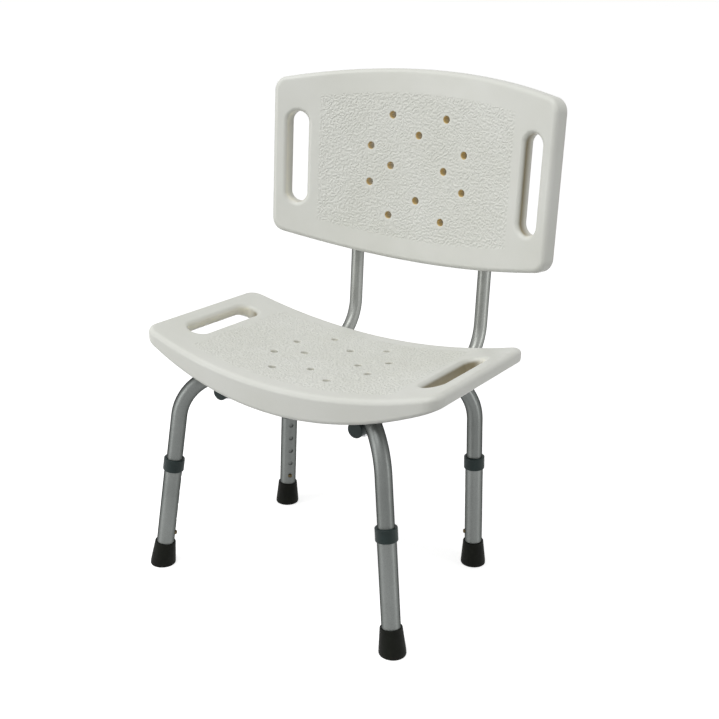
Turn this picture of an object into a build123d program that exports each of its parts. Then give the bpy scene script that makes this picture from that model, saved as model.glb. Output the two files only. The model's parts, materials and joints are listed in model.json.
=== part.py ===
from build123d import *
import math
import os

# A shower chair: a dished moulded seat and a moulded backrest on a frame of round tubes, with four
# telescopic legs. Millimetres, +Z up, the chair faces -Y. The model is drawn about the seat's middle,
# and moved at the end so that the origin lies on the floor under the middle of its outline.

# Seat panel
SEAT_WIDTH = 537.0
SEAT_SIDE_DEPTH = 275.5
SEAT_EDGE_BOW = 15.0
SEAT_SIDE_HEIGHT = 402.0
SEAT_DIP = 41.0
SEAT_SIDE_THICKNESS = 22.0
SEAT_MIDDLE_THICKNESS = 45.5
SEAT_CORNER_RADIUS = 26.0
SEAT_TOP_ROUNDING = 8.0
SEAT_BOTTOM_ROUNDING = 6.0
SEAT_SLOT_MARGIN = 50.0
SEAT_SLOT_REAR_ROUNDING = 12.0

# Backrest panel
BACKREST_WIDTH = 523.5
BACKREST_SIDE_HEIGHT = 261.5
BACKREST_TOP_BOW = 27.5
BACKREST_BOTTOM_BOW = 30.5
BACKREST_THICKNESS = 28.0
BACKREST_CURVE_RADIUS = 673.0
BACKREST_CORNER_RADIUS = 24.0
BACKREST_FRONT_ROUNDING = 8.0
BACKREST_REAR_ROUNDING = 8.0
BACKREST_SLOT_MARGIN = 38.75
BACKREST_SLOT_TURN = 6.5
BACKREST_SLOT_REAR_ROUNDING = 4.0
BACKREST_LIFT = 156.5
BACKREST_RECLINE = 2.2

# What both panels share
PANEL_WALL = 3.0
SLOT_LENGTH = 157.0
SLOT_WIDTH = 36.0
SLOT_FRONT_ROUNDING = 8.0
SLOT_RIM = 9.0
DRAIN_DIAMETER = 12.0
DRAIN_ROUNDING = 1.5
DRAIN_OFFSETS = ((51.0, 84.0), (0.0, 54.0), (89.0, 30.5), (51.0, 0.0))

# Leg tubes under the seat
LEG_TUBE_DIAMETER = 25.4
LEG_COVER = 10.0
LEG_BEND_RADIUS = 82.0
LEG_AZIMUTH = 37.3
LEG_REACH = 230.0
LEG_INNER_END = 35.0
LEG_TUBE_FOOT = 45.0
FRONT_SPLAY = 7.75
FRONT_SKEW = 1.75
REAR_SPLAY = 2.3
REAR_SKEW = 0.75
TUBE_WALL = 1.3
CHANNEL_CLEARANCE = 0.4

# Back tubes
BACK_TUBE_DIAMETER = 22.2
BACK_TUBE_SPREAD = 126.9
BACK_TUBE_FRONT = -118.0
BACK_TUBE_CORNER = 256.5
BACK_TUBE_RISE = 392.0
BACK_BEND_RADIUS = 70.0
BACK_GROOVE_DEPTH = 3.0
TUBE_CAP_LENGTH = 12.0
TUBE_CAP_WALL = 1.5
TUBE_CAP_END = 2.5
TUBE_CAP_ROUNDING = 1.2
TUBE_PLUG_LENGTH = 12.0
TUBE_PLUG_ROUNDING = 1.5

# Leg extensions, collars and feet, measured along the leg from the floor
SLIDE_CLEARANCE = 0.3
HEIGHT_HOLES = 5
HEIGHT_PITCH = 25.4
HEIGHT_HOLE_DIAMETER = 8.2
LOWEST_HOLE = 59.0
COLLAR_BOTTOM = 174.0
COLLAR_HEIGHT = 21.0
COLLAR_WALL = 2.35
COLLAR_LIP = 2.5
COLLAR_ROUNDING = 1.6
FOOT_HEIGHT = 42.0
FOOT_TOP_WALL = 2.4
FOOT_FLARE = 3.7
FOOT_BASE_BAND = 5.0
FOOT_FLOOR = 8.0
FOOT_ROUNDING = 2.0
FOOT_TOP_ROUNDING = 1.2
FOOT_WASHER_THICKNESS = 1.5

# Snap buttons and their leaf springs
BUTTON_CLEARANCE = 0.35
BUTTON_PROUD = 3.0
BUTTON_ROUNDING = 2.6
SPRING_THICKNESS = 0.8
SPRING_WIDTH = 8.0
SPRING_LEG = 38.0
SPRING_TAIL = 9.0
SPRING_CLEARANCE = 0.4

# Screws, washers, saddles, threaded inserts, and the gap left round what is pressed on or in
PRESS_GAP = 0.1
SCREW_DIAMETER = 6.0
SCREW_HOLE_CLEARANCE = 0.4
SCREW_HEAD_DIAMETER = 11.0
SCREW_HEAD_HEIGHT = 4.0
SCREW_HEAD_ROUNDING = 1.3
SCREW_SOCKET = 4.0
SCREW_SOCKET_DEPTH = 2.4
WASHER_DIAMETER = 15.0
WASHER_THICKNESS = 1.2
SADDLE_DIAMETER = 18.0
SADDLE_WEB = 1.5
SADDLE_CRADLE = 4.0
INSERT_DIAMETER = 9.0
INSERT_LENGTH = 8.0
INSERT_SINK = 0.3
SCREW_END_GAP = 0.5
INSERT_BOSS_DIAMETER = 16.0
LEG_SCREW_REACH = 85.0
BACKREST_SCREW_HEIGHTS = (45.0, 190.0)


def bow_radius(half_width, bow):
    """The radius of an arc that bows by an amount over a half width."""
    return (half_width**2 + bow**2) / (2 * bow)


# What follows from those sizes
SEAT_MIDDLE_TOP = SEAT_SIDE_HEIGHT - SEAT_DIP
LEG_RADIUS = LEG_TUBE_DIAMETER / 2
BACK_RADIUS = BACK_TUBE_DIAMETER / 2
EXTENSION_BORE_RADIUS = LEG_RADIUS + SLIDE_CLEARANCE
EXTENSION_RADIUS = EXTENSION_BORE_RADIUS + TUBE_WALL
EXTENSION_FOOT = FOOT_FLOOR + FOOT_WASHER_THICKNESS
EXTENSION_TOP = COLLAR_BOTTOM + COLLAR_HEIGHT - COLLAR_LIP
COLLAR_RADIUS = EXTENSION_RADIUS + PRESS_GAP + COLLAR_WALL
FOOT_TOP_RADIUS = EXTENSION_RADIUS + PRESS_GAP + FOOT_TOP_WALL
FOOT_BASE_RADIUS = FOOT_TOP_RADIUS + FOOT_FLARE
LEG_RUN_HEIGHT = SEAT_MIDDLE_TOP - LEG_COVER - LEG_RADIUS
BACK_TUBE_HEIGHT = LEG_RUN_HEIGHT - LEG_RADIUS - SADDLE_WEB - BACK_RADIUS
CHANNEL_ROOF = LEG_RUN_HEIGHT + LEG_RADIUS + CHANNEL_CLEARANCE
CROSSING_REACH = BACK_TUBE_SPREAD / math.cos(math.radians(LEG_AZIMUTH))
SCREW_HOLE_RADIUS = SCREW_DIAMETER / 2 + SCREW_HOLE_CLEARANCE
SEAT_SLOT_REACH = SEAT_WIDTH / 2 - SEAT_SLOT_MARGIN
SEAT_MIDDLE_BOTTOM = SEAT_MIDDLE_TOP - SEAT_MIDDLE_THICKNESS
SEAT_SIDE_BOTTOM = SEAT_SIDE_HEIGHT - SEAT_SIDE_THICKNESS
SEAT_DISH_RADIUS = bow_radius(SEAT_WIDTH / 2, SEAT_DIP)
SPRING_HALF = math.sqrt((LEG_RADIUS - TUBE_WALL - SPRING_CLEARANCE) ** 2 - (SPRING_WIDTH / 2) ** 2)
FRAME_SCREW_SEAT = BACK_TUBE_HEIGHT - BACK_RADIUS - PRESS_GAP - WASHER_THICKNESS
BACKREST_SLOT_REACH = BACKREST_WIDTH / 2 - BACKREST_SLOT_MARGIN
BACKREST_MIDDLE_HEIGHT = BACKREST_BOTTOM_BOW + BACKREST_SIDE_HEIGHT + BACKREST_TOP_BOW
BACKREST_REAR_RADIUS = BACKREST_CURVE_RADIUS + BACKREST_THICKNESS
BACKREST_REAR_AT_TUBE = math.sqrt(BACKREST_REAR_RADIUS**2 - BACK_TUBE_SPREAD**2) - BACKREST_CURVE_RADIUS
BACKREST_OFFSET = BACKREST_REAR_AT_TUBE + BACK_RADIUS + CHANNEL_CLEARANCE - BACK_GROOVE_DEPTH
BACK_INSERT_START = BACK_RADIUS + CHANNEL_CLEARANCE + INSERT_SINK
FAR = 1000.0

# The back tubes' upper runs lie along Z of the back frame, and the backrest sits in its own frame on them
BACK_FRAME = Pos(0, BACK_TUBE_CORNER, BACK_TUBE_HEIGHT) * Rot(-BACKREST_RECLINE, 0, 0)
BACKREST_FRAME = BACK_FRAME * Pos(0, -BACKREST_OFFSET, BACKREST_LIFT)

# Each leg's turn about the vertical, how far it leans out, and how far it leans sideways
LEGS = {
    "front_left": (180 + LEG_AZIMUTH, FRONT_SPLAY, -FRONT_SKEW),
    "front_right": (-LEG_AZIMUTH, FRONT_SPLAY, FRONT_SKEW),
    "rear_left": (180 - LEG_AZIMUTH, REAR_SPLAY, REAR_SKEW),
    "rear_right": (LEG_AZIMUTH, REAR_SPLAY, -REAR_SKEW),
}
SIDES = {"left": -1, "right": 1}


def round_bar(points, radius, bend_radius):
    """A round bar along straight runs that are joined by bends."""
    path = FilletPolyline(*points, radius=bend_radius)
    section = Plane(origin=path @ 0, z_dir=path % 0) * Circle(radius)
    return sweep(section, path=path)


def tube(points, diameter, bend_radius):
    """A round tube along straight runs that are joined by bends."""
    outside = round_bar(points, diameter / 2, bend_radius)
    return outside - round_bar(points, diameter / 2 - TUBE_WALL, bend_radius)


def post(radius, low, high):
    """An upright cylinder between two heights."""
    return Pos(0, 0, low) * extrude(Circle(radius), amount=high - low)


def ring(outer_radius, inner_radius, low, high):
    """An upright ring between two heights."""
    return post(outer_radius, low, high) - post(inner_radius, low, high)


def mirrored(offsets):
    """Every mirrored copy of the offsets about both middle lines."""
    points = []
    for across, along in offsets:
        for x in sorted({-across, across}):
            for y in sorted({-along, along}):
                points.append((x, y))
    return points


def largest_faces(body):
    """A panel's two broad faces."""
    return body.faces().sort_by(SortBy.AREA)[-2:]


def round_panel(body, axis, positive_rounding, negative_rounding):
    """Round the rims of a panel's broad faces, each by its own radius."""
    body = fillet(largest_faces(body).sort_by(axis)[-1].outer_wire().edges(), positive_rounding)
    return fillet(largest_faces(body).sort_by(axis)[0].outer_wire().edges(), negative_rounding)


def round_openings(body, axis, positive_rounding, negative_rounding):
    """Round the openings in a panel's broad faces, each face's by its own radius."""
    for end, rounding in ((-1, positive_rounding), (0, negative_rounding)):
        face = largest_faces(body).sort_by(axis)[end]
        edges = [edge for wire in face.inner_wires() for edge in wire.edges()]
        body = fillet(edges, rounding)
    return body


def round_drains(body, axis, end):
    """Round the rims of the drain holes in the broad face at one end of an axis."""
    face = largest_faces(body).sort_by(axis)[end]
    rims = [wire for wire in face.inner_wires() if wire.length < 2 * SLOT_WIDTH]
    return fillet([edge for wire in rims for edge in wire.edges()], DRAIN_ROUNDING)


# Leg frames


def leg_plane(leg):
    """The upright plane of a leg: X leads outwards from the seat's middle, Z up."""
    return Rot(0, 0, LEGS[leg][0])


def leg_axis(leg):
    """The leg's own frame: origin on the floor, Z up along the leg, -X towards the chair's middle."""
    _, splay, skew = LEGS[leg]
    length = LEG_RUN_HEIGHT / (math.cos(math.radians(splay)) * math.cos(math.radians(skew)))
    corner = Pos(LEG_REACH, 0, LEG_RUN_HEIGHT)
    return leg_plane(leg) * corner * Rot(skew, -splay, 0) * Pos(0, 0, -length)


def leg_line(leg, inner_reach):
    """A leg tube's centre line, from under the seat to its foot end."""
    run = [(inner_reach, 0, LEG_RUN_HEIGHT), (LEG_REACH, 0, LEG_RUN_HEIGHT)]
    points = [(leg_plane(leg) * Pos(*point)).position for point in run]
    points.append((leg_axis(leg) * Pos(0, 0, LEG_TUBE_FOOT)).position)
    return points


def leg_places(reach):
    """Upright screw axes, one on each leg's run, at a reach from the seat's middle."""
    return [leg_plane(leg) * Pos(reach, 0, 0) for leg in LEGS]


# Seat


def seat_form(inset):
    """The seat's form, drawn in all round by an inset."""
    half_width = SEAT_WIDTH / 2 - inset
    half_side = SEAT_SIDE_DEPTH / 2 - inset
    half_middle = half_side + SEAT_EDGE_BOW
    outline = make_face([
        ThreePointArc((-half_width, -half_side), (0, -half_middle), (half_width, -half_side)),
        Line((half_width, -half_side), (half_width, half_side)),
        ThreePointArc((half_width, half_side), (0, half_middle), (-half_width, half_side)),
        Line((-half_width, half_side), (-half_width, -half_side)),
    ])
    outline = fillet(outline.vertices(), SEAT_CORNER_RADIUS - inset)
    side_top = SEAT_SIDE_HEIGHT - inset
    side_bottom = SEAT_SIDE_BOTTOM + inset
    section = make_face([
        ThreePointArc((-half_width, side_top), (0, SEAT_MIDDLE_TOP - inset), (half_width, side_top)),
        Line((half_width, side_top), (half_width, side_bottom)),
        ThreePointArc((half_width, side_bottom), (0, SEAT_MIDDLE_BOTTOM + inset), (-half_width, side_bottom)),
        Line((-half_width, side_bottom), (-half_width, side_top)),
    ])
    body = extrude(outline, amount=FAR) & extrude(Plane.XZ * section, amount=FAR, both=True)
    return round_panel(body, Axis.Z, SEAT_TOP_ROUNDING - inset, SEAT_BOTTOM_ROUNDING - inset)


def seat_slots(grow):
    """The two hand slots, square to the dished seat, widened all round."""
    slot = SlotOverall(SLOT_LENGTH + 2 * grow, SLOT_WIDTH + 2 * grow, rotation=90)
    cut = extrude(slot, amount=2 * SEAT_MIDDLE_THICKNESS, both=True)
    tilt = math.degrees(math.asin(SEAT_SLOT_REACH / SEAT_DISH_RADIUS))
    dish_axis = Pos(0, 0, SEAT_MIDDLE_TOP + SEAT_DISH_RADIUS)
    return [
        dish_axis * Rot(0, -side * tilt, 0) * Pos(0, 0, -SEAT_DISH_RADIUS) * cut
        for side in SIDES.values()
    ]


def seat_drains(grow):
    """The seat's drain holes, widened all round."""
    bore = post(DRAIN_DIAMETER / 2 + grow, 0, FAR)
    return [Pos(x, y, 0) * bore for x, y in mirrored(DRAIN_OFFSETS)]


def leg_channels(grow):
    """Room for the leg tubes under the seat, open downwards, widened all round."""
    radius = LEG_RADIUS + CHANNEL_CLEARANCE + grow
    start = LEG_INNER_END - CHANNEL_CLEARANCE - grow
    run = CROSSING_REACH + SADDLE_DIAMETER / 2 + CHANNEL_CLEARANCE + grow - start
    mouth = 2 * (radius - CHANNEL_CLEARANCE / 2)
    drop = Box(run, mouth, LEG_RUN_HEIGHT, align=(Align.MIN, Align.CENTER, Align.MIN))
    cuts = []
    for leg in LEGS:
        cuts.append(round_bar(leg_line(leg, start), radius, LEG_BEND_RADIUS))
        cuts.append(leg_plane(leg) * Pos(start, 0, 0) * drop)
    return cuts


def seat_panel():
    """The hollow seat, with its slots, drain holes, leg channels and insert sockets."""
    body = seat_form(0) - seat_slots(0)
    body = round_openings(body, Axis.Z, SLOT_FRONT_ROUNDING, SEAT_SLOT_REAR_ROUNDING)
    body = round_drains(body - seat_drains(0), Axis.Z, -1)
    places = leg_places(CROSSING_REACH) + leg_places(LEG_SCREW_REACH)
    socket = post(INSERT_DIAMETER / 2 + PRESS_GAP, 0, CHANNEL_ROOF + INSERT_LENGTH + 2 * INSERT_SINK)
    boss = post(INSERT_BOSS_DIAMETER / 2, 0, FAR)
    hollow = seat_form(PANEL_WALL) - seat_slots(SLOT_RIM) - seat_drains(PANEL_WALL)
    hollow = hollow - leg_channels(PANEL_WALL) - [place * boss for place in places]
    return body - leg_channels(0) - [place * socket for place in places] - hollow


# Backrest, drawn with its front face's bottom middle at the origin, then set on the back tubes


def backrest_form(inset):
    """The backrest's form, drawn in all round by an inset, on sides that lead to the curve's axis."""
    ring_face = Circle(BACKREST_REAR_RADIUS - inset) - Circle(BACKREST_CURVE_RADIUS + inset)
    band = extrude(Pos(0, -BACKREST_CURVE_RADIUS, 0) * ring_face, amount=FAR, both=True)
    half_width = BACKREST_WIDTH / 2 - inset
    slope = math.tan(math.asin(half_width / BACKREST_CURVE_RADIUS))
    wedge = make_face(Polyline((0, 0), (FAR * slope, FAR), (-FAR * slope, FAR), close=True))
    wedge = extrude(Pos(0, -BACKREST_CURVE_RADIUS, 0) * wedge, amount=FAR, both=True)
    low_radius = bow_radius(half_width, BACKREST_BOTTOM_BOW)
    high_radius = bow_radius(half_width, BACKREST_TOP_BOW)
    low_disc = Pos(0, inset + low_radius) * Circle(low_radius)
    high_disc = Pos(0, BACKREST_MIDDLE_HEIGHT - inset - high_radius) * Circle(high_radius)
    body = band & wedge & extrude(Plane.XZ * (low_disc & high_disc), amount=BACKREST_WIDTH, both=True)
    corners = body.edges().sort_by(SortBy.LENGTH)[:4]
    body = fillet(corners, BACKREST_CORNER_RADIUS - inset)
    return round_panel(body, Axis.Y, BACKREST_REAR_ROUNDING - inset, BACKREST_FRONT_ROUNDING - inset)


def backrest_cut(shape, x, z, turn):
    """A cut through the backrest at a point of its front face, turned about the vertical."""
    y = math.sqrt(BACKREST_CURVE_RADIUS**2 - x**2) - BACKREST_CURVE_RADIUS
    cut = extrude(Plane.XZ * shape, amount=2 * BACKREST_THICKNESS, both=True)
    return Pos(x, y, BACKREST_MIDDLE_HEIGHT / 2 + z) * Rot(0, 0, -turn) * cut


def backrest_slots(grow):
    """The two hand slots, turned a little with the backrest's curve, widened all round."""
    slot = SlotOverall(SLOT_LENGTH + 2 * grow, SLOT_WIDTH + 2 * grow, rotation=90)
    return [
        backrest_cut(slot, side * BACKREST_SLOT_REACH, 0, side * BACKREST_SLOT_TURN)
        for side in SIDES.values()
    ]


def backrest_drains(grow):
    """The backrest's drain holes, square to its curve, widened all round."""
    drain = Circle(DRAIN_DIAMETER / 2 + grow)
    return [
        backrest_cut(drain, x, z, math.degrees(math.asin(x / BACKREST_CURVE_RADIUS)))
        for x, z in mirrored(DRAIN_OFFSETS)
    ]


def back_grooves(grow):
    """Room for the back tubes in the backrest's rear face, widened all round."""
    top = BACK_TUBE_RISE + TUBE_CAP_END + CHANNEL_CLEARANCE - BACKREST_LIFT
    groove = post(BACK_RADIUS + CHANNEL_CLEARANCE + grow, -FAR, top + grow)
    return [Pos(side * BACK_TUBE_SPREAD, BACKREST_OFFSET, 0) * groove for side in SIDES.values()]


def backrest_screw_places():
    """Frames on the back tubes' axes with Z forwards, one for each backrest screw."""
    return [
        Pos(side * BACK_TUBE_SPREAD, BACKREST_OFFSET, height) * Rot(90, 0, 0)
        for side in SIDES.values()
        for height in BACKREST_SCREW_HEIGHTS
    ]


def backrest_panel():
    """The hollow backrest, with its slots, drain holes, tube grooves and insert sockets."""
    body = backrest_form(0) - backrest_slots(0)
    body = round_openings(body, Axis.Y, BACKREST_SLOT_REAR_ROUNDING, SLOT_FRONT_ROUNDING)
    body = round_drains(body - backrest_drains(0), Axis.Y, 0)
    places = backrest_screw_places()
    socket = post(INSERT_DIAMETER / 2 + PRESS_GAP, 0, BACK_INSERT_START + INSERT_LENGTH + INSERT_SINK)
    boss = post(INSERT_BOSS_DIAMETER / 2, 0, FAR)
    hollow = backrest_form(PANEL_WALL) - backrest_slots(SLOT_RIM) - backrest_drains(PANEL_WALL)
    hollow = hollow - back_grooves(PANEL_WALL) - [place * boss for place in places]
    return body - back_grooves(0) - [place * socket for place in places] - hollow


# Tubes


def leg_tube(leg):
    """A bent leg tube, bored for its two screws and its snap button."""
    body = tube(leg_line(leg, LEG_INNER_END), LEG_TUBE_DIAMETER, LEG_BEND_RADIUS)
    screw_bore = post(SCREW_HOLE_RADIUS, 0, FAR)
    holes = [leg_plane(leg) * Pos(reach, 0, LEG_RUN_HEIGHT - LEG_TUBE_DIAMETER) * screw_bore
             for reach in (CROSSING_REACH, LEG_SCREW_REACH)]
    return body - holes - leg_axis(leg) * button_bore(LOWEST_HOLE)


def button_bore(height):
    """A bore from the leg's axis out through the side that faces the chair's middle."""
    return Pos(0, 0, height) * Rot(0, -90, 0) * post(HEIGHT_HOLE_DIAMETER / 2, 0, EXTENSION_RADIUS * 2)


def back_tube_line(side):
    """A back tube's centre line, from under the seat's front to behind the backrest."""
    recline = math.radians(BACKREST_RECLINE)
    top_y = BACK_TUBE_CORNER + BACK_TUBE_RISE * math.sin(recline)
    top_z = BACK_TUBE_HEIGHT + BACK_TUBE_RISE * math.cos(recline)
    x = side * BACK_TUBE_SPREAD
    return [
        (x, BACK_TUBE_FRONT, BACK_TUBE_HEIGHT),
        (x, BACK_TUBE_CORNER, BACK_TUBE_HEIGHT),
        (x, top_y, top_z),
    ]


def back_tube(side):
    """A bent back tube, bored for the frame screws and the backrest screws."""
    body = tube(back_tube_line(side), BACK_TUBE_DIAMETER, BACK_BEND_RADIUS)
    screw_bore = post(SCREW_HOLE_RADIUS, -BACK_TUBE_DIAMETER, BACK_TUBE_DIAMETER)
    holes = [Pos(0, 0, BACK_TUBE_HEIGHT) * place * screw_bore for place in leg_places(CROSSING_REACH)]
    holes += [BACKREST_FRAME * place * screw_bore for place in backrest_screw_places()]
    return body - holes


def tube_cap(side):
    """A cap pushed over the front end of a back tube."""
    outer = BACK_RADIUS + PRESS_GAP + TUBE_CAP_WALL
    body = post(outer, -TUBE_CAP_END, TUBE_CAP_LENGTH)
    body = fillet(body.edges().group_by(Axis.Z)[0], TUBE_CAP_ROUNDING)
    body = body - post(BACK_RADIUS + PRESS_GAP, 0, TUBE_CAP_LENGTH)
    return Pos(side * BACK_TUBE_SPREAD, BACK_TUBE_FRONT, BACK_TUBE_HEIGHT) * Rot(-90, 0, 0) * body


def tube_plug(side):
    """A plug pushed into the top end of a back tube."""
    body = post(BACK_RADIUS, 0, TUBE_CAP_END)
    body = fillet(body.edges().group_by(Axis.Z)[-1], TUBE_PLUG_ROUNDING)
    body = body + post(BACK_RADIUS - TUBE_WALL - PRESS_GAP, -TUBE_PLUG_LENGTH, 0)
    return BACK_FRAME * Pos(side * BACK_TUBE_SPREAD, 0, BACK_TUBE_RISE) * body


# Leg extensions and what they carry, each in its leg's own frame


def extension(leg):
    """The outer tube of a leg, with its row of height holes."""
    body = ring(EXTENSION_RADIUS, EXTENSION_BORE_RADIUS, EXTENSION_FOOT, EXTENSION_TOP)
    holes = [button_bore(LOWEST_HOLE + HEIGHT_PITCH * n) for n in range(HEIGHT_HOLES)]
    return leg_axis(leg) * (body - holes)


def collar(leg):
    """The ring on top of an extension, whose lip guides the leg tube."""
    top = COLLAR_BOTTOM + COLLAR_HEIGHT
    body = post(COLLAR_RADIUS, COLLAR_BOTTOM, top)
    body = fillet(body.edges().filter_by(GeomType.CIRCLE), COLLAR_ROUNDING)
    body = body - post(EXTENSION_RADIUS + PRESS_GAP, COLLAR_BOTTOM, EXTENSION_TOP)
    return leg_axis(leg) * (body - post(EXTENSION_BORE_RADIUS, COLLAR_BOTTOM, top))


def foot(leg):
    """The rubber tip, flared to its base and cut flat at the floor."""
    below = -FOOT_FLOOR
    socket = EXTENSION_RADIUS + PRESS_GAP
    section = make_face(Polyline(
        (0, below),
        (FOOT_BASE_RADIUS, below),
        (FOOT_BASE_RADIUS, FOOT_BASE_BAND),
        (FOOT_TOP_RADIUS, FOOT_HEIGHT),
        (socket, FOOT_HEIGHT),
        (socket, FOOT_FLOOR),
        (0, FOOT_FLOOR),
        close=True,
    ))
    body = revolve(Plane.XZ * section, axis=Axis.Z)
    body = fillet(body.edges().group_by(Axis.Z)[-1].sort_by(SortBy.LENGTH)[-1], FOOT_TOP_ROUNDING)
    body = split(leg_axis(leg) * body, bisect_by=Plane.XY, keep=Keep.TOP)
    return fillet(body.faces().sort_by(Axis.Z)[0].outer_wire().edges(), FOOT_ROUNDING)


def foot_washer(leg):
    """The disc in a foot, under the end of the extension."""
    return leg_axis(leg) * post(EXTENSION_RADIUS - PRESS_GAP, FOOT_FLOOR, EXTENSION_FOOT)


def button(leg):
    """A snap button, from its spring out through the lowest height hole."""
    end = EXTENSION_RADIUS + BUTTON_PROUD
    body = post(HEIGHT_HOLE_DIAMETER / 2 - BUTTON_CLEARANCE, SPRING_HALF, end)
    body = fillet(body.edges().group_by(Axis.Z)[-1], BUTTON_ROUNDING)
    return leg_axis(leg) * Pos(0, 0, LOWEST_HOLE) * Rot(0, -90, 0) * body


def button_spring(leg):
    """A leaf spring bent into a U inside a leg tube, with the button on one leaf."""
    outside = spring_section(SPRING_HALF, LOWEST_HOLE - SPRING_TAIL)
    inside = spring_section(SPRING_HALF - SPRING_THICKNESS, LOWEST_HOLE - SPRING_LEG)
    return leg_axis(leg) * extrude(Plane.XZ * (outside - inside), amount=SPRING_WIDTH / 2, both=True)


def spring_section(half, low):
    """A strip with a round top, from a height up to the spring's bend."""
    high = LOWEST_HOLE + SPRING_LEG
    return Pos(0, (low + high) / 2) * Rectangle(2 * half, high - low) + Pos(0, high) * Circle(half)


# Fasteners


def screw(length):
    """A socket screw with its head below the origin and its shank up along Z."""
    head = post(SCREW_HEAD_DIAMETER / 2, -SCREW_HEAD_HEIGHT, 0)
    head = fillet(head.edges().group_by(Axis.Z)[0], SCREW_HEAD_ROUNDING)
    socket = Pos(0, 0, -SCREW_HEAD_HEIGHT) * extrude(RegularPolygon(SCREW_SOCKET / 2, 6, major_radius=False),
                                                     amount=SCREW_SOCKET_DEPTH)
    return head + post(SCREW_DIAMETER / 2, 0, length) - socket


def insert():
    """A threaded insert, from the origin up along Z."""
    return ring(INSERT_DIAMETER / 2, SCREW_DIAMETER / 2 + PRESS_GAP, 0, INSERT_LENGTH)


def group(shapes):
    """Separate solids in one node."""
    return Compound(children=[solid for shape in shapes for solid in shape.solids()])


def seat_screws(reach, seat_height):
    """Screws up into the seat, with their heads seated at a height."""
    length = CHANNEL_ROOF + INSERT_SINK + INSERT_LENGTH - SCREW_END_GAP - seat_height
    return group([place * Pos(0, 0, seat_height) * screw(length) for place in leg_places(reach)])


def seat_inserts():
    """The threaded inserts in the roofs of the seat's channels."""
    places = leg_places(CROSSING_REACH) + leg_places(LEG_SCREW_REACH)
    return group([place * Pos(0, 0, CHANNEL_ROOF + INSERT_SINK) * insert() for place in places])


def frame_washers():
    """Washers between the back tubes and the frame screws' heads."""
    body = ring(WASHER_DIAMETER / 2, SCREW_HOLE_RADIUS, FRAME_SCREW_SEAT, FRAME_SCREW_SEAT + WASHER_THICKNESS)
    return group([place * body for place in leg_places(CROSSING_REACH)])


def frame_saddles():
    """Cradles between the leg tubes and the back tubes that cross under them."""
    low = BACK_TUBE_HEIGHT + BACK_RADIUS - SADDLE_CRADLE
    high = LEG_RUN_HEIGHT - LEG_RADIUS + SADDLE_CRADLE
    block = ring(SADDLE_DIAMETER / 2, SCREW_HOLE_RADIUS, low, high)
    lower = Rot(90, 0, 0) * Cylinder(BACK_RADIUS + PRESS_GAP, FAR)
    saddles = []
    for leg in LEGS:
        side = SIDES[leg.split("_")[1]]
        under = Pos(side * BACK_TUBE_SPREAD, 0, BACK_TUBE_HEIGHT) * lower
        over = round_bar(leg_line(leg, LEG_INNER_END), LEG_RADIUS + PRESS_GAP, LEG_BEND_RADIUS)
        saddles.append(leg_plane(leg) * Pos(CROSSING_REACH, 0, 0) * block - under - over)
    return group(saddles)


def backrest_screws():
    """Screws through the back tubes into the backrest."""
    length = BACK_RADIUS + PRESS_GAP + BACK_INSERT_START + INSERT_LENGTH - SCREW_END_GAP
    body = Pos(0, 0, -BACK_RADIUS - PRESS_GAP) * screw(length)
    return group([BACKREST_FRAME * place * body for place in backrest_screw_places()])


def backrest_inserts():
    """The threaded inserts in the backrest's grooves."""
    body = Pos(0, 0, BACK_INSERT_START) * insert()
    return group([BACKREST_FRAME * place * body for place in backrest_screw_places()])


def all_nodes():
    """Every node of the chair, by name, about the seat's middle."""
    nodes = {
        "seat_panel": seat_panel(),
        "backrest_panel": BACKREST_FRAME * backrest_panel(),
        "frame_screws": seat_screws(CROSSING_REACH, FRAME_SCREW_SEAT),
        "frame_washers": frame_washers(),
        "frame_saddles": frame_saddles(),
        "leg_screws": seat_screws(LEG_SCREW_REACH, LEG_RUN_HEIGHT - LEG_RADIUS - PRESS_GAP),
        "seat_inserts": seat_inserts(),
        "backrest_screws": backrest_screws(),
        "backrest_inserts": backrest_inserts(),
    }
    for name, side in SIDES.items():
        nodes[f"{name}_back_tube"] = back_tube(side)
        nodes[f"{name}_tube_cap"] = tube_cap(side)
        nodes[f"{name}_tube_plug"] = tube_plug(side)
    for leg in LEGS:
        nodes[f"{leg}_leg_tube"] = leg_tube(leg)
        nodes[f"{leg}_extension"] = extension(leg)
        nodes[f"{leg}_collar"] = collar(leg)
        nodes[f"{leg}_foot"] = foot(leg)
        nodes[f"{leg}_foot_washer"] = foot_washer(leg)
        nodes[f"{leg}_button"] = button(leg)
        nodes[f"{leg}_button_spring"] = button_spring(leg)
    return nodes


nodes = all_nodes()
boxes = [shape.bounding_box() for shape in nodes.values()]
middle = (min(box.min.Y for box in boxes) + max(box.max.Y for box in boxes)) / 2
os.makedirs("parts", exist_ok=True)
for name, shape in nodes.items():
    export_step(Pos(0, -middle, 0) * shape, f"parts/{name}.step")
print(f"seat's middle at Y = {-middle:.3f}")
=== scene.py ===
import json
import math
import bmesh
import bpy
from mathutils import Matrix, Vector, noise
from mathutils.geometry import delaunay_2d_cdt


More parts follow.
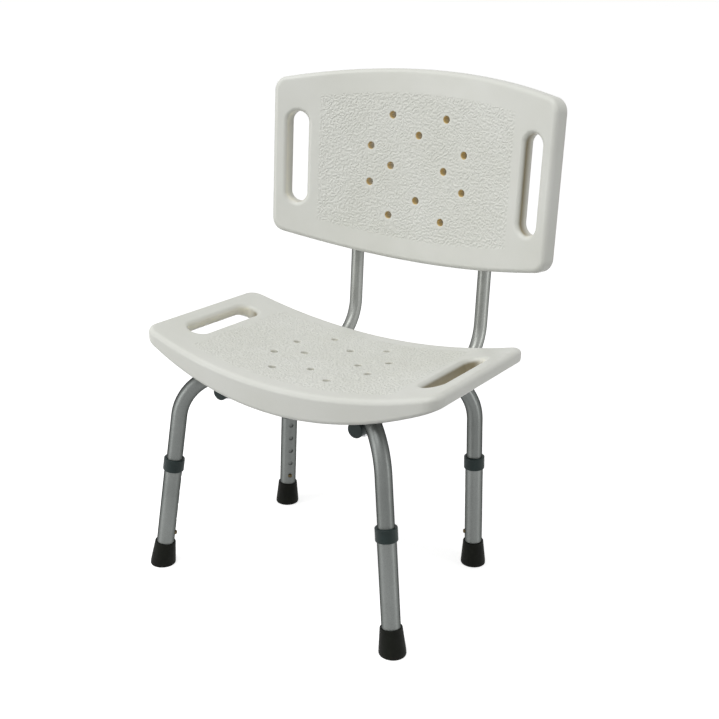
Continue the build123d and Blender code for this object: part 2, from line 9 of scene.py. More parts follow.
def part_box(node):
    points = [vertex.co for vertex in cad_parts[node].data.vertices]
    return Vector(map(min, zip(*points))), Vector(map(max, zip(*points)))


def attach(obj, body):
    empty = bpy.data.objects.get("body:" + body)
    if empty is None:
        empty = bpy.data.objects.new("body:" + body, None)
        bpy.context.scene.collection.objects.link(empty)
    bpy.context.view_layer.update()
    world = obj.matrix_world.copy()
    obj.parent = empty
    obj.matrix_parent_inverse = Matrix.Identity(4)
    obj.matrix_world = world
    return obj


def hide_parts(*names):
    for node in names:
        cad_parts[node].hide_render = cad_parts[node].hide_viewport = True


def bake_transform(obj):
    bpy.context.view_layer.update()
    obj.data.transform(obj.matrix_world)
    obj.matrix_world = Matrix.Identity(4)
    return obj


# A shower chair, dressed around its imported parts. Metres, +Z up, the chair faces -Y.

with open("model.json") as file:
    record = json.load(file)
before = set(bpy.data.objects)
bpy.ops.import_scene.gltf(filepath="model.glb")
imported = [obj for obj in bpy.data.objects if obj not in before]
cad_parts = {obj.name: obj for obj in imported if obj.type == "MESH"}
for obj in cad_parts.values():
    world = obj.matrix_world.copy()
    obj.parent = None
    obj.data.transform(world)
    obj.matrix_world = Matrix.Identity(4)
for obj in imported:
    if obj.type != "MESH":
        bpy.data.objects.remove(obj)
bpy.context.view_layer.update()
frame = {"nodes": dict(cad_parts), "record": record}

# Camera, at the photograph's viewing angle
IMAGE_SIDE = 719
FOCAL_PIXELS = 1083.75
SENSOR_WIDTH = 36.0
CAMERA_PLACE = (0.91949, -1.37230, 0.91817)
CAMERA_AZIMUTH = 33.28
CAMERA_ELEVATION = 19.09
CAMERA_ROLL = 1.2

# Stage
FLOOR_REACH = 60.0
FLOOR_COLOUR = (0.35, 0.35, 0.35, 1)
FLOOR_SHADED = (0.75, 0.75, 0.75, 1)
FLOOR_GLOW = 0.72
WORLD_LIGHT = 0.4
BACKDROP_LIGHT = 1.0
WHITE = (1, 1, 1, 1)

# Lamps: name, place, the point it faces, width, height and power
LAMPS = (
    ("key", (-0.3, -1.15, 2.8), (0, 0, 0.5), 1.6, 1.6, 36),
    ("left_strip", (-1.5, -2.1, 0.6), (0, 0, 0.4), 1.3, 1.1, 18),
    ("right_strip", (2.4, 0.2, 0.45), (0, 0, 0.3), 0.4, 0.8, 8),
)

# Colours, in display values from 0 to 255. A pair is the two tones of a surface's blotches.
PLASTIC = ((222, 223, 217), (215, 216, 208))
PLASTIC_FLECK = (196, 195, 184)
# Painted warm light inside the backrest's drain holes
DRAIN_WALL_PAINTED_LIGHT = (236, 212, 150)
# Painted shade, brownish, on the slots' inner walls
SLOT_WALL_PAINTED_SHADE = (142, 128, 90)
# Painted light, lighter, on walls that let light through
LIT_WALL = (246, 244, 232)
# One aluminium in three tones: painted shade on the legs, less on the extensions, painted light on the back
# tubes
LEG_TUBE_SHADED = ((120, 123, 121), (107, 110, 108))
EXTENSION_TUBE_LESS_SHADED = ((127, 130, 128), (114, 117, 115))
BACK_TUBE_LIT = ((158, 160, 156), (144, 146, 142))
TUBE_GRIT = (84, 86, 85)
# Painted dark reflection at the tubes' edges, through the metal's edge tint
TUBE_EDGE_PAINTED_REFLECTION = (24, 26, 25)
SLATE = ((40, 52, 51), (33, 43, 42))
BLACK_RUBBER = ((23, 25, 20), (17, 18, 15))
RUBBER_SCUFF = (46, 45, 39)
DULL_BRASS = ((96, 84, 58), (66, 56, 38))
ZINC = ((196, 196, 198), (168, 168, 172))

# Surfaces: how rough every noise is, how much flecks and grit show, how much duller the pebbled fields are,
# and how high up the feet are scuffed
NOISE_ROUGHNESS = 0.55
FLECK_SHARE = 0.12
GRIT_SHARE = 0.3
FIELD_DULLING = 0.10
SCUFF_HEIGHT = 0.02

# The panels' broad faces, slots and drain holes, as the part draws them
SEAT_TOP_MIDDLE = 0.361
SEAT_HALF_WIDTH = 0.2685
SEAT_DIP = 0.041
SEAT_HALF_DEPTH = 0.15275
SEAT_EDGE_BOW = 0.015
SEAT_THICKNESS = 0.0455
SEAT_SLOT_REACH = 0.2185
BACKREST_HALF_WIDTH = 0.26175
BACKREST_RADIUS = 0.673
BACKREST_HALF_HEIGHT = 0.15975
BACKREST_TOP_BOW = 0.0275
BACKREST_BOTTOM_BOW = 0.0305
BACKREST_THICKNESS = 0.028
BACKREST_SLOT_REACH = 0.223
BACKREST_RECLINE = 2.2
BACKREST_LIFT = 0.1565
BACK_TUBE_CORNER = 0.2565
BACK_TUBE_HEIGHT = 0.313
BACK_TUBE_SPREAD = 0.1269
BACK_TUBE_RADIUS = 0.0111
BACK_TUBE_CLEARANCE = 0.0004
BACK_GROOVE_DEPTH = 0.003
DRAIN_RADIUS = 0.006
DRAIN_ROUNDING = 0.0015
DRAIN_OFFSETS = ((0.051, 0.084), (0.0, 0.054), (0.089, 0.0305), (0.051, 0.0))
SLOT_HALF_WIDTH = 0.018
SLOT_HALF_STRAIGHT = 0.0605
SLOT_ROUNDING = 0.008

# The pebbled fields on the broad faces
FIELD_HALF_WIDTH = 0.187
SEAT_BORDER = 0.027
BACKREST_BORDER = 0.037
FIELD_FADE = 0.003
DRAIN_FADE = 0.003
DRAIN_MARGIN = 0.001
PEBBLE_PITCH = 0.0030
PEBBLE_HEIGHT = 0.00090
PEBBLE_BEND = 0.8
PEBBLE_BEND_SCALE = 0.6
PEBBLE_BEND_SEEDS = (Vector((9, 0, 3)), Vector((0, 7, 5)))
PEBBLE_FINE_SHARE = 0.25
PEBBLE_FINE_SCALE = 2.1
PEBBLE_FINE_SEED = Vector((3, 1, 4))
PEBBLE_FOOT = -0.28
PEBBLE_CROWN = 0.30

# The grid of points on the broad faces, and the shading of the shells
FIELD_STEP = 0.00115
PLAIN_STEP = 0.006
GRID_SPARE = 1.05
RIM_GAP = 0.02
WELD = 1e-6
ON_FACE = 2e-5
SHARP_ANGLE = 35.0
FLAT_ANGLE = 2.0
BROAD_SHARE = 8.0

# Painted warm light in the drain holes, painted light through the walls and painted shade on the slots'
# inner walls.
# Reaches are shares of the drain's radius, the panel's thickness, the slot's half width or the slot's
# rounding.
SEAT_DRAIN_PAINTED_LIGHT = 0.0
BACKREST_DRAIN_PAINTED_LIGHT = 1.0
# Share of painted light and of subsurface light in the seat's drain walls
DRAIN_GLOW = 0.4
DRAIN_WALL_REACH = 1.6
DRAIN_WALL_DEPTH = 0.5
SLOT_WALL_DEPTH = 0.8
SLOT_WALL_TURN = 0.6
INNER_WALL_START = 0.4
INNER_WALL_END = 1.1
# How much painted shade the slots' inner walls take
INNER_WALL_SHADE_SHARE = 0.9


# The panels' shapes


def smooth_step(low, high, value):
    """A smooth rise from 0 to 1 between two values."""
    share = min(max((value - low) / (high - low), 0.0), 1.0)
    return share * share * (3 - 2 * share)


def mirrored(offsets):
    """Every mirrored copy of the offsets about both middle lines."""
    return [(x, y) for across, along in offsets
            for x in sorted({-across, across}) for y in sorted({-along, along})]


class Panel:
    """A moulded panel's broad curved face: X across, Y along the curve's axis, Z towards that axis."""

    def __init__(self, node, place, radius, half_width, edges, border, thickness, slot_reach, drain_light_share):
        self.node = node
        self.place = place
        self.radius = radius
        self.half_width = half_width
        self.edges = edges
        self.border = border
        self.thickness = thickness
        self.drain_light_share = drain_light_share
        self.slots = [self.flat(x, 0) for x in (-slot_reach, slot_reach)]
        self.drains = [self.flat(x, y) for x, y in mirrored(DRAIN_OFFSETS)]

    def flat(self, across, along):
        """A point of the face, unrolled."""
        return self.radius * math.asin(across / self.radius), along

    def unroll(self, point):
        """A point's unrolled place on the face, and its depth under it."""
        local = self.place.inverted() @ point
        to_axis = Vector((local.x, self.radius - local.z))
        turn = math.atan2(to_axis.x, to_axis.y)
        return self.radius * turn, local.y, to_axis.length - self.radius

    def roll(self, across, along, height):
        """The point at an unrolled place, raised from the face."""
        turn = across / self.radius
        reach = self.radius - height
        local = Vector((reach * math.sin(turn), along, self.radius - reach * math.cos(turn)))
        return self.place @ local

    def limits(self, across, border):
        """The lowest and highest place along the face that keep a border to its bowed edges."""
        share = (across / self.half_width) ** 2
        low = -self.edges[0][0] + self.edges[0][1] * share + border
        high = self.edges[1][0] - self.edges[1][1] * share - border
        return low, high

    def field(self, across, along):
        """How much of the pebbled pattern shows at an unrolled place, from 0 to 1."""
        low, high = self.limits(across, self.border)
        inside = min(FIELD_HALF_WIDTH - abs(across), along - low, high - along)
        weight = smooth_step(0, FIELD_FADE, inside)
        if weight > 0:
            rim = DRAIN_RADIUS + DRAIN_ROUNDING + DRAIN_MARGIN
            for drain in self.drains:
                distance = math.dist(drain, (across, along))
                weight *= smooth_step(rim, rim + DRAIN_FADE, distance)
        return weight

    def slot_distance(self, across, along):
        """The slot on a place's side of the middle, and the distance to its middle line."""
        slot = max(self.slots, key=lambda place: place[0] * across)
        past = max(abs(along) - SLOT_HALF_STRAIGHT, 0)
        return slot, math.hypot(across - slot[0], past)

    def in_drain(self, across, along, depth):
        """Whether a place is on the front half of a drain hole's wall."""
        near = min(math.dist(drain, (across, along)) for drain in self.drains)
        deep = DRAIN_ROUNDING / 2 < depth < self.thickness * DRAIN_WALL_DEPTH
        return near < DRAIN_RADIUS * DRAIN_WALL_REACH and deep

    def drain_painted_light(self, across, along, depth):
        """How much painted warm light the inside of a drain hole takes at a place, from 0 to 1."""
        return self.drain_light_share if self.in_drain(across, along, depth) else 0.0

    def slot_walls(self, across, along, depth):
        """How much a place is on the inner and on the outer wall of a slot, each from 0 to 1; the inner
        wall takes painted shade and the outer wall painted light.
        """
        slot, distance = self.slot_distance(across, along)
        if distance > SLOT_HALF_WIDTH + SLOT_ROUNDING or depth > self.thickness * SLOT_WALL_DEPTH:
            return 0.0, 0.0
        outwards = (abs(across) - abs(slot[0])) / SLOT_HALF_WIDTH
        outer = smooth_step(-SLOT_WALL_TURN, SLOT_WALL_TURN, outwards)
        deep = smooth_step(SLOT_ROUNDING * INNER_WALL_START, SLOT_ROUNDING * INNER_WALL_END, depth)
        return (1 - outer) * deep, outer * smooth_step(0, SLOT_ROUNDING, depth)

    def glow(self, across, along, depth):
        """How much light from the faces shines through the plastic at a place, from 0 to 1: painted light
        in the colour, and real subsurface light.
        """
        if self.in_drain(across, along, depth):
            return DRAIN_GLOW * (1 - self.drain_light_share)
        return self.slot_walls(across, along, depth)[1]


def seat_middle_y():
    """The seat's middle line from front to rear."""
    low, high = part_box("seat_panel")
    return (low.y + high.y) / 2


def seat_face():
    """The seat's top."""
    place = Matrix.Translation((0, seat_middle_y(), SEAT_TOP_MIDDLE))
    radius = (SEAT_HALF_WIDTH**2 + SEAT_DIP**2) / (2 * SEAT_DIP)
    edge = (SEAT_HALF_DEPTH, SEAT_EDGE_BOW)
    return Panel("seat_panel", place, radius, SEAT_HALF_WIDTH, (edge, edge),
                 SEAT_BORDER, SEAT_THICKNESS, SEAT_SLOT_REACH, SEAT_DRAIN_PAINTED_LIGHT)


def backrest_face():
    """The backrest's front."""
    rear_radius = BACKREST_RADIUS + BACKREST_THICKNESS
    rear_at_tube = math.sqrt(rear_radius**2 - BACK_TUBE_SPREAD**2) - BACKREST_RADIUS
    offset = rear_at_tube + BACK_TUBE_RADIUS + BACK_TUBE_CLEARANCE - BACK_GROOVE_DEPTH
    tube = Matrix.Translation((0, BACK_TUBE_CORNER + seat_middle_y(), BACK_TUBE_HEIGHT))
    tube = tube @ Matrix.Rotation(math.radians(-BACKREST_RECLINE), 4, "X")
    middle = Matrix.Translation((0, -offset, BACKREST_LIFT + BACKREST_HALF_HEIGHT))
    place = tube @ middle @ Matrix.Rotation(math.radians(90), 4, "X")
    edges = ((BACKREST_HALF_HEIGHT, BACKREST_BOTTOM_BOW), (BACKREST_HALF_HEIGHT, BACKREST_TOP_BOW))
    return Panel("backrest_panel", place, BACKREST_RADIUS, BACKREST_HALF_WIDTH, edges,
                 BACKREST_BORDER, BACKREST_THICKNESS, BACKREST_SLOT_REACH, BACKREST_DRAIN_PAINTED_LIGHT)


def pebble(across, along):
    """The height of the moulded pebble pattern at an unrolled place, from 0 to 1."""
    spot = Vector((across, along, 0)) / PEBBLE_PITCH
    bend = [noise.noise(spot * PEBBLE_BEND_SCALE + seed) for seed in PEBBLE_BEND_SEEDS]
    spot = spot + PEBBLE_BEND * Vector((*bend, 0))
    coarse = noise.noise(spot)
    fine = noise.noise(spot * PEBBLE_FINE_SCALE + PEBBLE_FINE_SEED)
    return smooth_step(PEBBLE_FOOT, PEBBLE_CROWN, coarse + PEBBLE_FINE_SHARE * fine)


# The shells that stand for the panels


def outer_shell(work):
    """Keep only the outside of a hollow moulding."""
    loose = set(work.verts)
    shells = []
    while loose:
        shell = set()
        waiting = [loose.pop()]
        while waiting:
            vertex = waiting.pop()
            shell.add(vertex)
            near = {edge.other_vert(vertex) for edge in vertex.link_edges} & loose
            loose -= near
            waiting.extend(near)
        shells.append(shell)
    outside = min(shells, key=lambda shell: min(vertex.co.x for vertex in shell))
    inner = [vertex for shell in shells if shell is not outside for vertex in shell]
    bmesh.ops.delete(work, geom=inner, context="VERTS")


def rim_loops(faces):
    """The closed rims of a patch of faces, each as a list of vertices in order."""
    patch = set(faces)
    following = {}
    for face in faces:
        for loop in face.loops:
            if not any(other in patch for other in loop.edge.link_faces if other is not face):
                following[loop.vert] = loop.link_loop_next.vert
    loops = []
    while following:
        start, vertex = following.popitem()
        rim = [start]
        while vertex is not start:
            rim.append(vertex)
            vertex = following.pop(vertex)
        loops.append(rim)
    return loops


def clear_of_rims(panel, spot):
    """True for a plain point on the face that keeps its distance from the face's rims."""
    if abs(spot[0]) > panel.half_width - RIM_GAP:
        return False
    low, high = panel.limits(spot[0], RIM_GAP)
    if not low < spot[1] < high:
        return False
    if panel.slot_distance(*spot)[1] < SLOT_HALF_WIDTH + RIM_GAP:
        return False
    return all(math.dist(drain, spot) > DRAIN_RADIUS + PLAIN_STEP for drain in panel.drains)


def grid_points(panel):
    """Points over the face: close together in the pebbled field, and wider apart round it."""
    points = []
    row_step = FIELD_STEP * math.sqrt(3) / 2
    half_depth = max(edge[0] for edge in panel.edges)
    rows = int(half_depth / row_step)
    columns = int(panel.half_width * GRID_SPARE / FIELD_STEP)
    every = round(PLAIN_STEP / FIELD_STEP)
    for row in range(-rows, rows + 1):
        for column in range(-columns, columns + 1):
            spot = ((column + row % 2 / 2) * FIELD_STEP, row * row_step)
            coarse = row % every == 0 and column % every == 0
            if panel.field(*spot) > 0 or (coarse and clear_of_rims(panel, spot)):
                points.append(spot)
    return points


def open_face(panel, work):
    """Take the plain broad face out, and give its rims, as vertices and as unrolled places."""
    flat = {vertex: panel.unroll(vertex.co) for vertex in work.verts}
    on_face = {vertex for vertex, spot in flat.items() if abs(spot[2]) < ON_FACE}
    faces = [face for face in work.faces if all(vertex in on_face for vertex in face.verts)]
    rims = rim_loops(faces)
    places = [[Vector(flat[vertex][:2]) for vertex in rim] for rim in rims]
    bmesh.ops.delete(work, geom=faces, context="FACES_KEEP_BOUNDARY")
    return rims, places


def width_of(places):
    """How far a rim reaches across its face."""
    return max(place.x for place in places) - min(place.x for place in places)


def fill_face(panel, work, rims, places):
    """Close the face between its rims with triangles that carry the pebbles, and leave its holes open."""
    fixed = [vertex for rim in rims for vertex in rim]
    number = {vertex: index for index, vertex in enumerate(fixed)}
    points = [place for rim in places for place in rim]
    points += [Vector(spot) for spot in grid_points(panel)]
    bounds = [(number[rim[i - 1]], number[rim[i]]) for rim in rims for i in range(len(rim))]
    made, _, triangles, sources, _, _ = delaunay_2d_cdt(points, bounds, [], 1, WELD)
    corners = []
    for spot, origins in zip(made, sources):
        known = [index for index in origins if index < len(fixed)]
        if known:
            corners.append(fixed[known[0]])
            continue
        height = panel.field(*spot) * PEBBLE_HEIGHT * (pebble(*spot) - 0.5)
        corners.append(work.verts.new(panel.roll(spot.x, spot.y, height)))
    outer_rim = max(range(len(rims)), key=lambda index: width_of(places[index]))
    hole_of = {vertex: index for index, rim in enumerate(rims) if index != outer_rim for vertex in rim}
    for triangle in triangles:
        trio = [corners[index] for index in triangle]
        holes = {hole_of.get(vertex) for vertex in trio}
        if len(holes) > 1 or None in holes:
            work.faces.new(trio)


def mark_creases(work):
    """Part the shading where faces meet at an angle, and where a broad face meets a small one."""
    for edge in work.edges:
        if len(edge.link_faces) != 2:
            continue
        angle = math.degrees(edge.calc_face_angle())
        small, broad = sorted(face.calc_area() for face in edge.link_faces)
        alike = angle < FLAT_ANGLE or broad < BROAD_SHARE * small
        edge.smooth = angle < SHARP_ANGLE and alike


def paint_masks(panel, mesh):
    """Store where the pebbles are, and how much painted warm light, painted shade and painted light each
    point on a drain's or slot's wall takes.
    """
    names = ("field", "drain", "slot", "glow")
    for name in names:
        mesh.attributes.new(name, "FLOAT", "POINT")
    field, drain, slot, glow = (mesh.attributes[name].data for name in names)
    for vertex in mesh.vertices:
        spot = panel.unroll(vertex.co)
        index = vertex.index
        field[index].value = panel.field(*spot[:2]) if abs(spot[2]) < PEBBLE_HEIGHT else 0.0
        drain[index].value = panel.drain_painted_light(*spot)
        # Painted shade on the slots' inner walls
        slot[index].value = INNER_WALL_SHADE_SHARE * panel.slot_walls(*spot)[0]
        glow[index].value = panel.glow(*spot)


def shell_mesh(panel, name):
    """The mesh of the panel's moulding, with its pebbled field worked into the broad face."""
    work = bmesh.new()
    work.from_mesh(frame["nodes"][panel.node].data)
    bmesh.ops.remove_doubles(work, verts=work.verts, dist=WELD)
    outer_shell(work)
    rims, places = open_face(panel, work)
    fill_face(panel, work, rims, places)
    loose = [vertex for vertex in work.verts if not vertex.link_faces]
    bmesh.ops.delete(work, geom=loose, context="VERTS")
    mark_creases(work)
    mesh = bpy.data.meshes.new(name)
    work.to_mesh(mesh)
    work.free()
    mesh.shade_smooth()
    paint_masks(panel, mesh)
    return mesh


def pebbled_panel(panel, name, material):
    """The panel's pebbled shell, in place of the plain node."""
    mesh = shell_mesh(panel, name)
    mesh.materials.append(material)
    piece = bpy.data.objects.new(name, mesh)
    bpy.context.scene.collection.objects.link(piece)
    shading = piece.modifiers.new("even_shading", "WEIGHTED_NORMAL")
    shading.keep_sharp = True
    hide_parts(panel.node)
    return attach(piece, "frame")


# The button springs


def bending_spring(joint):
    """A copy of a button's leaf spring, put in place of its node."""
    node = joint["child"] + "_spring"
    piece = bpy.data.objects.new(joint["child"] + "_leaf", frame["nodes"][node].data.copy())
    bpy.context.scene.collection.objects.link(piece)
    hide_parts(node)
    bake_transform(piece)


# Materials


def srgb(colour):
    """A colour in display values, as linear light."""
    shares = [value / 255 for value in colour]
    light = [share / 12.92 if share <= 0.04045 else ((share + 0.055) / 1.055) ** 2.4 for share in shares]
    return (*light, 1.0)


class Finish:
    """A material and short ways to wire its nodes."""

    def __init__(self, name):
        self.material = bpy.data.materials.new(name)
        self.material.use_nodes = True
        self.tree = self.material.node_tree
        self.shader = self.tree.nodes["Principled BSDF"]
        self.place = self.tree.nodes.new("ShaderNodeTexCoord").outputs["Object"]

    def set(self, **values):
        """Set plain values on the shader's sockets."""
        for name, value in values.items():
            socket = name.replace("_", " ").title().replace("Ior", "IOR")
            self.shader.inputs[socket].default_value = value

    def feed(self, socket, source):
        """Wire a source into one of the shader's sockets."""
        self.tree.links.new(source, self.shader.inputs[socket])

    def noise(self, scale, detail):
        """Noise in the piece's own coordinates."""
        texture = self.tree.nodes.new("ShaderNodeTexNoise")
        texture.inputs["Scale"].default_value = scale
        texture.inputs["Detail"].default_value = detail
        texture.inputs["Roughness"].default_value = NOISE_ROUGHNESS
        self.tree.links.new(self.place, texture.inputs["Vector"])
        return texture.outputs["Fac"]

    def stored(self, name):
        """A value stored on the mesh."""
        attribute = self.tree.nodes.new("ShaderNodeAttribute")
        attribute.attribute_name = name
        return attribute.outputs["Fac"]

    def across(self):
        """The level direction along the surface, which on an upright tube goes round it."""
        node = self.tree.nodes.new("ShaderNodeVectorMath")
        node.operation = "CROSS_PRODUCT"
        normal = self.tree.nodes.new("ShaderNodeNewGeometry").outputs["Normal"]
        self.tree.links.new(normal, node.inputs[0])
        node.inputs[1].default_value = (0, 0, 1)
        return node.outputs["Vector"]

    def height(self):
        """The height above the floor at rest."""
        node = self.tree.nodes.new("ShaderNodeSeparateXYZ")
        self.tree.links.new(self.place, node.inputs["Vector"])
        return node.outputs["Z"]

    def ramp(self, source, low, high, start=0.3, end=0.7):
        """A value that goes from low to high as its source goes from start to end."""
        node = self.tree.nodes.new("ShaderNodeMapRange")
        for name, value in (("From Min", start), ("From Max", end), ("To Min", low), ("To Max", high)):
            node.inputs[name].default_value = value
        self.tree.links.new(source, node.inputs["Value"])
        return node.outputs["Result"]

    def mix(self, share, first, second):
        """A colour between two, each a display colour or a source."""
        node = self.tree.nodes.new("ShaderNodeMix")
        node.data_type = "RGBA"
        self.tree.links.new(share, node.inputs["Factor"])
        for socket, value in ((node.inputs[6], first), (node.inputs[7], second)):
            if isinstance(value, tuple):
                socket.default_value = srgb(value)
            else:
                self.tree.links.new(value, socket)
        return node.outputs[2]

    def blotches(self, tones, scale):
        """Two tones in soft blotches."""
        return self.mix(self.ramp(self.noise(scale, detail=4), 0, 1), *tones)

    def math(self, operation, first, second):
        """Arithmetic on two sources or numbers."""
        node = self.tree.nodes.new("ShaderNodeMath")
        node.operation = operation
        for socket, value in zip(node.inputs, (first, second)):
            if isinstance(value, (int, float)):
                socket.default_value = value
            else:
                self.tree.links.new(value, socket)
        return node.outputs["Value"]

    def uneven(self, low, high, scale, detail=4):
        """A value that wanders between two."""
        return self.ramp(self.noise(scale, detail), low, high)

    def bump(self, scale, detail, distance, strength):
        """Fine grain that only shading shows."""
        node = self.tree.nodes.new("ShaderNodeBump")
        node.inputs["Distance"].default_value = distance
        node.inputs["Strength"].default_value = strength
        self.tree.links.new(self.noise(scale, detail), node.inputs["Height"])
        self.feed("Normal", node.outputs["Normal"])


def white_plastic():
    """Off-white moulded polyethylene, slightly waxy, whose slot and drain walls let light through, partly
    as real subsurface light and partly as painted light.
    """
    finish = Finish("white_plastic")
    flecks = finish.ramp(finish.noise(scale=420, detail=2), 0, 1, start=0.62, end=0.8)
    tone = finish.blotches(PLASTIC, scale=7)
    tone = finish.mix(finish.math("MULTIPLY", flecks, FLECK_SHARE), tone, PLASTIC_FLECK)
    # Painted warm light inside the drain holes
    tone = finish.mix(finish.stored("drain"), tone, DRAIN_WALL_PAINTED_LIGHT)
    # Painted shade on the slots' inner walls
    tone = finish.mix(finish.stored("slot"), tone, SLOT_WALL_PAINTED_SHADE)
    # Painted light on walls that let light through; the subsurface weight below adds real light
    tone = finish.mix(finish.stored("glow"), tone, LIT_WALL)
    finish.feed("Base Color", tone)
    finish.feed("Subsurface Weight", finish.stored("glow"))
    duller = finish.math("MULTIPLY", finish.stored("field"), FIELD_DULLING)
    finish.feed("Roughness", finish.math("ADD", finish.uneven(0.36, 0.48, scale=30, detail=5), duller))
    finish.bump(scale=900, detail=3, distance=0.00008, strength=0.5)
    finish.set(specular_ior_level=0.45, subsurface_radius=(1, 0.98, 0.9), subsurface_scale=0.02)
    return finish.material


def aluminium(name, tones):
    """Satin anodised tube, polished round its axis, so that lights draw bands along it."""
    finish = Finish(name)
    grit = finish.ramp(finish.noise(scale=650, detail=2), 0, 1, start=0.40, end=0.70)
    grit = finish.math("MULTIPLY", grit, GRIT_SHARE)
    # The tones carry each tube's painted light and shade
    tone = finish.mix(grit, finish.blotches(tones, scale=9), TUBE_GRIT)
    finish.feed("Base Color", tone)
    finish.feed("Roughness", finish.uneven(0.40, 0.48, scale=16, detail=5))
    finish.feed("Tangent", finish.across())
    finish.bump(scale=1100, detail=3, distance=0.00006, strength=0.6)
    # The edge tint paints a dark reflection at the tubes' edges
    finish.set(metallic=1.0, specular_tint=srgb(TUBE_EDGE_PAINTED_REFLECTION), anisotropic=0.65, anisotropic_rotation=0.25)
    return finish.material


def grey_plastic():
    """Dark slate moulded plastic."""
    finish = Finish("grey_plastic")
    finish.feed("Base Color", finish.blotches(SLATE, scale=60))
    finish.feed("Roughness", finish.uneven(0.38, 0.52, scale=120))
    finish.bump(scale=800, detail=3, distance=0.00008, strength=0.6)
    finish.set(specular_ior_level=0.2)
    return finish.material


def rubber():
    """Black moulded rubber, a little dusty and scuffed low down."""
    finish = Finish("rubber")
    low = finish.ramp(finish.height(), 1, 0, start=0.0, end=SCUFF_HEIGHT)
    patches = finish.ramp(finish.noise(scale=140, detail=5), 0, 0.5, start=0.45, end=0.75)
    scuff = finish.math("MULTIPLY", low, patches)
    finish.feed("Base Color", finish.mix(scuff, finish.blotches(BLACK_RUBBER, scale=45), RUBBER_SCUFF))
    finish.feed("Roughness", finish.uneven(0.52, 0.70, scale=200))
    finish.bump(scale=700, detail=4, distance=0.00015, strength=0.7)
    finish.set(specular_ior_level=0.1)
    return finish.material


def brass():
    """Plain brass, dulled unevenly."""
    finish = Finish("brass")
    finish.feed("Base Color", finish.blotches(DULL_BRASS, scale=300))
    finish.feed("Roughness", finish.uneven(0.25, 0.45, scale=400))
    finish.bump(scale=1500, detail=2, distance=0.00004, strength=0.5)
    finish.set(metallic=1.0)
    return finish.material


def steel():
    """Zinc plated steel."""
    finish = Finish("steel")
    finish.feed("Base Color", finish.blotches(ZINC, scale=220))
    finish.feed("Roughness", finish.uneven(0.26, 0.42, scale=500))
    finish.bump(scale=1400, detail=2, distance=0.00004, strength=0.5)
    finish.set(metallic=1.0)
    return finish.material


def finish_name(part):
    """The finish of a node's slot, or a lighter copy of the tube's finish, with painted light, where it is
    an extension or a back tube.
    """
    if part["node"].endswith("back_tube"):
        return "back_tube"
    if part["node"].endswith("extension"):
        return "extension_tube_less_shaded"
    return part["material_slot"]


def dress_nodes(finishes):
    """Give every node its finish."""
    for part in frame["record"]["subparts"]:
        node = frame["nodes"][part["node"]]
        if not node.material_slots:
            node.data.materials.append(None)
        for slot in node.material_slots:
            slot.material = finishes[finish_name(part)]


# Stage


def seen_directly(tree):
    """One where a view, a reflection or a clear piece shows the stage, nought where it only lends light."""
    path = tree.nodes.new("ShaderNodeLightPath")
    seen = path.outputs["Is Camera Ray"]
    for name in ("Is Glossy Ray", "Is Transmission Ray"):
        either = tree.nodes.new("ShaderNodeMath")
        either.operation = "MAXIMUM"
        tree.links.new(seen, either.inputs[0])
        tree.links.new(path.outputs[name], either.inputs[1])
        seen = either.outputs["Value"]
    return seen


def mixed(tree, share, first, second):
    """A shader between two others."""
    both = tree.nodes.new("ShaderNodeMixShader")
    tree.links.new(share, both.inputs["Fac"])
    tree.links.new(first, both.inputs[1])
    tree.links.new(second, both.inputs[2])
    return both.outputs["Shader"]


def matte(tree, colour):
    """A plain matte shader."""
    shader = tree.nodes.new("ShaderNodeBsdfDiffuse")
    shader.inputs["Color"].default_value = colour
    return shader.outputs["BSDF"]


def floor_material():
    """Matte where it lends light, and white with the chair's shadow where it is seen."""
    material = bpy.data.materials.new("floor")
    material.use_nodes = True
    tree = material.node_tree
    tree.nodes.clear()
    glow = tree.nodes.new("ShaderNodeEmission")
    glow.inputs["Strength"].default_value = FLOOR_GLOW
    white = tree.nodes.new("ShaderNodeAddShader")
    tree.links.new(matte(tree, FLOOR_SHADED), white.inputs[0])
    tree.links.new(glow.outputs["Emission"], white.inputs[1])
    output = tree.nodes.new("ShaderNodeOutputMaterial")
    surface = mixed(tree, seen_directly(tree), matte(tree, FLOOR_COLOUR), white.outputs["Shader"])
    tree.links.new(surface, output.inputs["Surface"])
    return material


def floor():
    """A wide pale floor."""
    mesh = bpy.data.meshes.new("floor")
    corners = [(x * FLOOR_REACH, y * FLOOR_REACH, 0) for x, y in ((-1, -1), (1, -1), (1, 1), (-1, 1))]
    mesh.from_pydata(corners, [], [(0, 1, 2, 3)])
    mesh.materials.append(floor_material())
    plane = bpy.data.objects.new("floor", mesh)
    bpy.context.scene.collection.objects.link(plane)


def soft_box(name, place, target, width, height, power):
    """A wide soft lamp that faces a point."""
    lamp = bpy.data.lights.new(name, "AREA")
    lamp.shape = "RECTANGLE"
    lamp.size = width
    lamp.size_y = height
    lamp.energy = power
    holder = bpy.data.objects.new(name, lamp)
    holder.location = place
    holder.rotation_euler = (Vector(target) - Vector(place)).to_track_quat("-Z", "Y").to_euler()
    bpy.context.scene.collection.objects.link(holder)


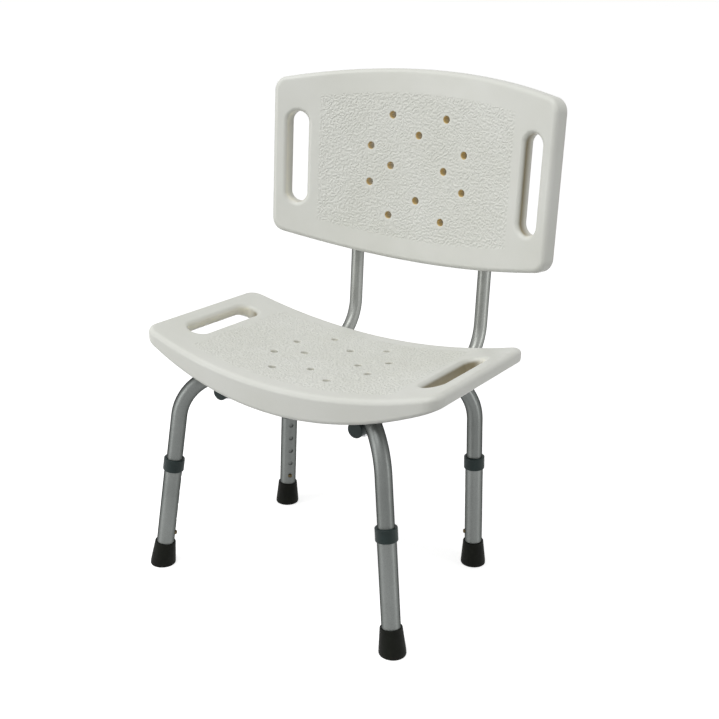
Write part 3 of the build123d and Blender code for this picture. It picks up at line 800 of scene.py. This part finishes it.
def surroundings():
    """Even light from all round, behind which the backdrop shows white."""
    world = bpy.data.worlds.new("surroundings")
    world.use_nodes = True
    tree = world.node_tree
    light = tree.nodes["Background"]
    light.inputs["Color"].default_value = WHITE
    light.inputs["Strength"].default_value = WORLD_LIGHT
    backdrop = tree.nodes.new("ShaderNodeBackground")
    backdrop.inputs["Color"].default_value = WHITE
    backdrop.inputs["Strength"].default_value = BACKDROP_LIGHT
    surface = mixed(tree, seen_directly(tree), light.outputs["Background"], backdrop.outputs["Background"])
    tree.links.new(surface, tree.nodes["World Output"].inputs["Surface"])
    bpy.context.scene.world = world


def camera():
    """The camera, at the photograph's angle."""
    turn, rise, roll = (math.radians(value) for value in (CAMERA_AZIMUTH, CAMERA_ELEVATION, CAMERA_ROLL))
    back = Vector((math.sin(turn) * math.cos(rise), -math.cos(turn) * math.cos(rise), math.sin(rise)))
    level = Vector((math.cos(turn), math.sin(turn), 0))
    upright = back.cross(level)
    right = math.cos(roll) * level + math.sin(roll) * upright
    up = math.cos(roll) * upright - math.sin(roll) * level
    lens = bpy.data.cameras.new("camera")
    lens.sensor_width = SENSOR_WIDTH
    lens.lens = FOCAL_PIXELS / IMAGE_SIDE * SENSOR_WIDTH
    holder = bpy.data.objects.new("camera", lens)
    axes = Matrix((right, up, back)).transposed().to_4x4()
    holder.matrix_world = Matrix.Translation(CAMERA_PLACE) @ axes
    bpy.context.scene.collection.objects.link(holder)
    bpy.context.scene.camera = holder


finishes = {
    "white_plastic": white_plastic(),
    # Lit and shaded copies of one aluminium, as painted light and shade
    "tube": aluminium("tube", LEG_TUBE_SHADED),
    "extension_tube_less_shaded": aluminium("extension_tube_less_shaded", EXTENSION_TUBE_LESS_SHADED),
    "back_tube": aluminium("back_tube", BACK_TUBE_LIT),
    "grey_plastic": grey_plastic(),
    "rubber": rubber(),
    "brass": brass(),
    "steel": steel(),
}
dress_nodes(finishes)
for joint in frame["record"]["behaviour"]["joints"]:
    if joint["name"].endswith("press"):
        bending_spring(joint)
pebbled_panel(seat_face(), "seat_shell", finishes["white_plastic"])
pebbled_panel(backrest_face(), "backrest_shell", finishes["white_plastic"])
floor()
surroundings()
for lamp in LAMPS:
    soft_box(*lamp)
camera()
bpy.context.scene.view_settings.view_transform = "Standard"
